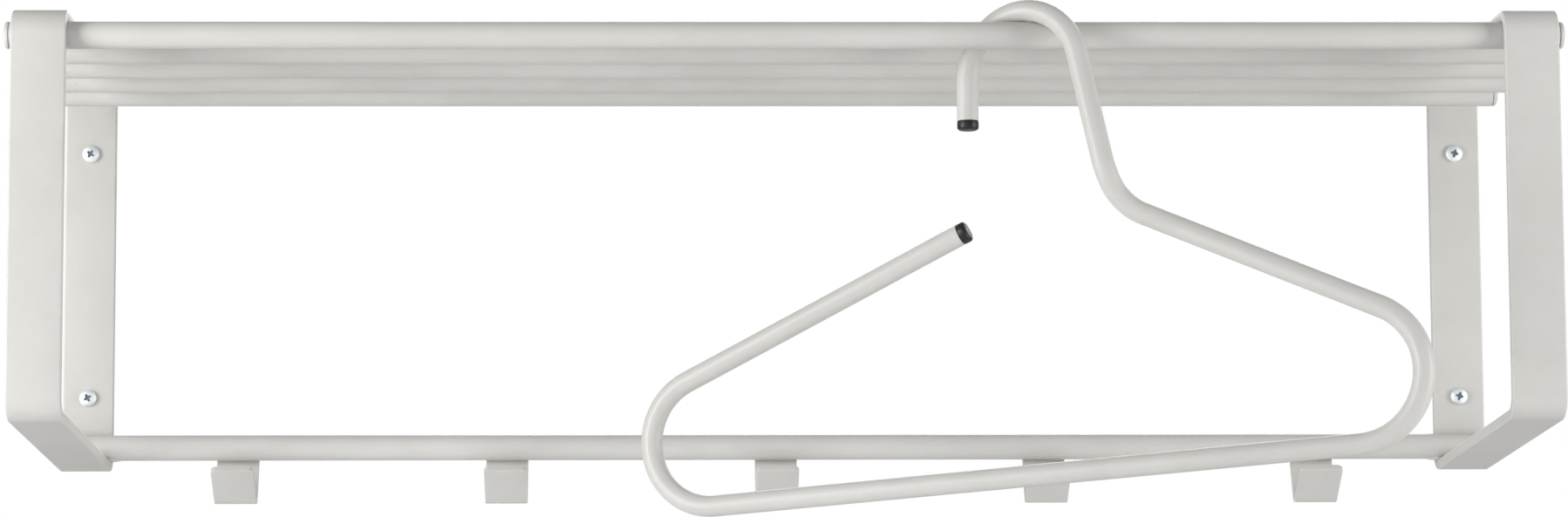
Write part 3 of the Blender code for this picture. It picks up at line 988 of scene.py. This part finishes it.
# %% Push them in
make_plug("hanger_plug_tip", HANGER_LINE[0], HANGER_LINE[1])
make_plug("hanger_plug_shoulder", HANGER_LINE[-1], HANGER_LINE[-2])

# %% [markdown]
# ## Studio
#
# The rack hangs in the air before a white backdrop, as a wall piece is shown in a catalogue. The
# pale floor below it throws light back up and brightens the undersides. The world is white to
# the camera but dimmer as a light, so that round shapes keep some shade. A tall soft light stands
# on each side, which is why the frames shade the ends of the front tube. A weaker one stands
# behind the camera, and one behind the rack lights the sides nearest the wall. Spot lights or a
# sun would be easier to aim, but their hard shadows would cut the tubes into bright and dark.

# %% Studio sizes
FLOOR_LEVEL = -0.95
FLOOR_HALF_WIDTH = 30
WORLD_SEEN = 1.0
WORLD_LIT = 0.36


# %% Floor and world
def make_floor(level, half_width):
    bm = bmesh.new()
    bmesh.ops.create_grid(bm, x_segments=4, y_segments=4, size=half_width)
    mesh = bpy.data.meshes.new("floor")
    bm.to_mesh(mesh)
    bm.free()
    material, start = new_finish("floor_paint")
    place = start.coordinates()
    tone = (0.5 + 0.3 * place.noise(3, detail=3)).ramp(0, 1)
    paint = tone.blend((0.80, 0.80, 0.80, 1), (0.83, 0.83, 0.83, 1))
    finish_with(material, {"Base Color": paint, "Roughness": 0.8})
    mesh.materials.append(material)
    floor = bpy.data.objects.new("floor", mesh)
    floor.location = (0, 0, level)
    bpy.context.scene.collection.objects.link(floor)
    floor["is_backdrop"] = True


def make_world(seen, lit):
    world = bpy.data.worlds.new("studio")
    bpy.context.scene.world = world
    world.use_nodes = True
    tree = world.node_tree
    background = tree.nodes["Background"]
    camera_ray = Wire(tree).node("ShaderNodeLightPath", {}, {}, output="Is Camera Ray")
    tree.links.new((lit + (seen - lit) * camera_ray).socket, background.inputs["Strength"])
    background.inputs["Color"].default_value = (1, 1, 1, 1)


make_floor(FLOOR_LEVEL, FLOOR_HALF_WIDTH)
make_world(WORLD_SEEN, WORLD_LIT)
print("floor at", FLOOR_LEVEL, "world lights with", WORLD_LIT)


# %% Lights
def area_light(name, place, target, size, power):
    data = bpy.data.lights.new(name, "AREA")
    data.shape = "RECTANGLE"
    data.size, data.size_y = size
    data.energy = power
    light = bpy.data.objects.new(name, data)
    light.location = place
    aim = Vector(target) - Vector(place)
    light.rotation_mode = "QUATERNION"
    light.rotation_quaternion = aim.to_track_quat("-Z", "Y")
    bpy.context.scene.collection.objects.link(light)


# name, place, target, width and height, power
area_light("left_softbox", (-2.0, -1.25, 0.05), (-0.1, -0.15, 0), (0.8, 1.4), 41)
area_light("right_softbox", (2.1, -1.15, 0.0), (0.1, -0.15, 0), (0.8, 1.4), 29)
area_light("back_softbox", (0.6, 2.6, 1.3), (0, -0.1, 0), (2.2, 1.2), 34)
area_light("front_softbox", (-0.7, -3.3, 0.3), (0, -0.12, 0), (1.6, 1.2), 8)
print("lights:", [light.name for light in bpy.data.lights])

# %% [markdown]
# The camera stands in front of the rack and below it, a little left of its middle, and looks
# slightly up through a long lens, so the undersides of the shelf tubes show one below the other.
# A small shift slides the picture over the rack without turning the camera.


# %% Camera
def make_camera(place, yaw, pitch, roll, lens, shift):
    data = bpy.data.cameras.new("camera")
    data.lens = lens
    data.sensor_width = 36
    data.shift_x, data.shift_y = shift
    camera = bpy.data.objects.new("camera", data)
    turn = Matrix.Rotation(-yaw, 4, "Z") @ Matrix.Rotation(math.pi / 2 + pitch, 4, "X")
    camera.matrix_world = Matrix.Translation(place) @ turn @ Matrix.Rotation(roll, 4, "Z")
    bpy.context.scene.collection.objects.link(camera)
    bpy.context.scene.camera = camera


make_camera(
    place=(-0.0806, -2.6816, -0.3332),
    yaw=0.0177,
    pitch=0.1101,
    roll=-0.0030,
    lens=103.24,
    shift=(0.0411, 0.0503),
)
bpy.context.scene.view_settings.view_transform = "Standard"

# %% [markdown]
# ## Compare the sizes
#
# The finished pieces are meant to fill the same box as the frame, so the two boxes are
# compared, and how far each side differs is printed.

# %% Print how the boxes differ
visual_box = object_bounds()
for low, high in zip(visual_box[0] - cad_box[0], visual_box[1] - cad_box[1]):
    print("box differs by", round(low * 1000, 2), "and", round(high * 1000, 2), "mm")
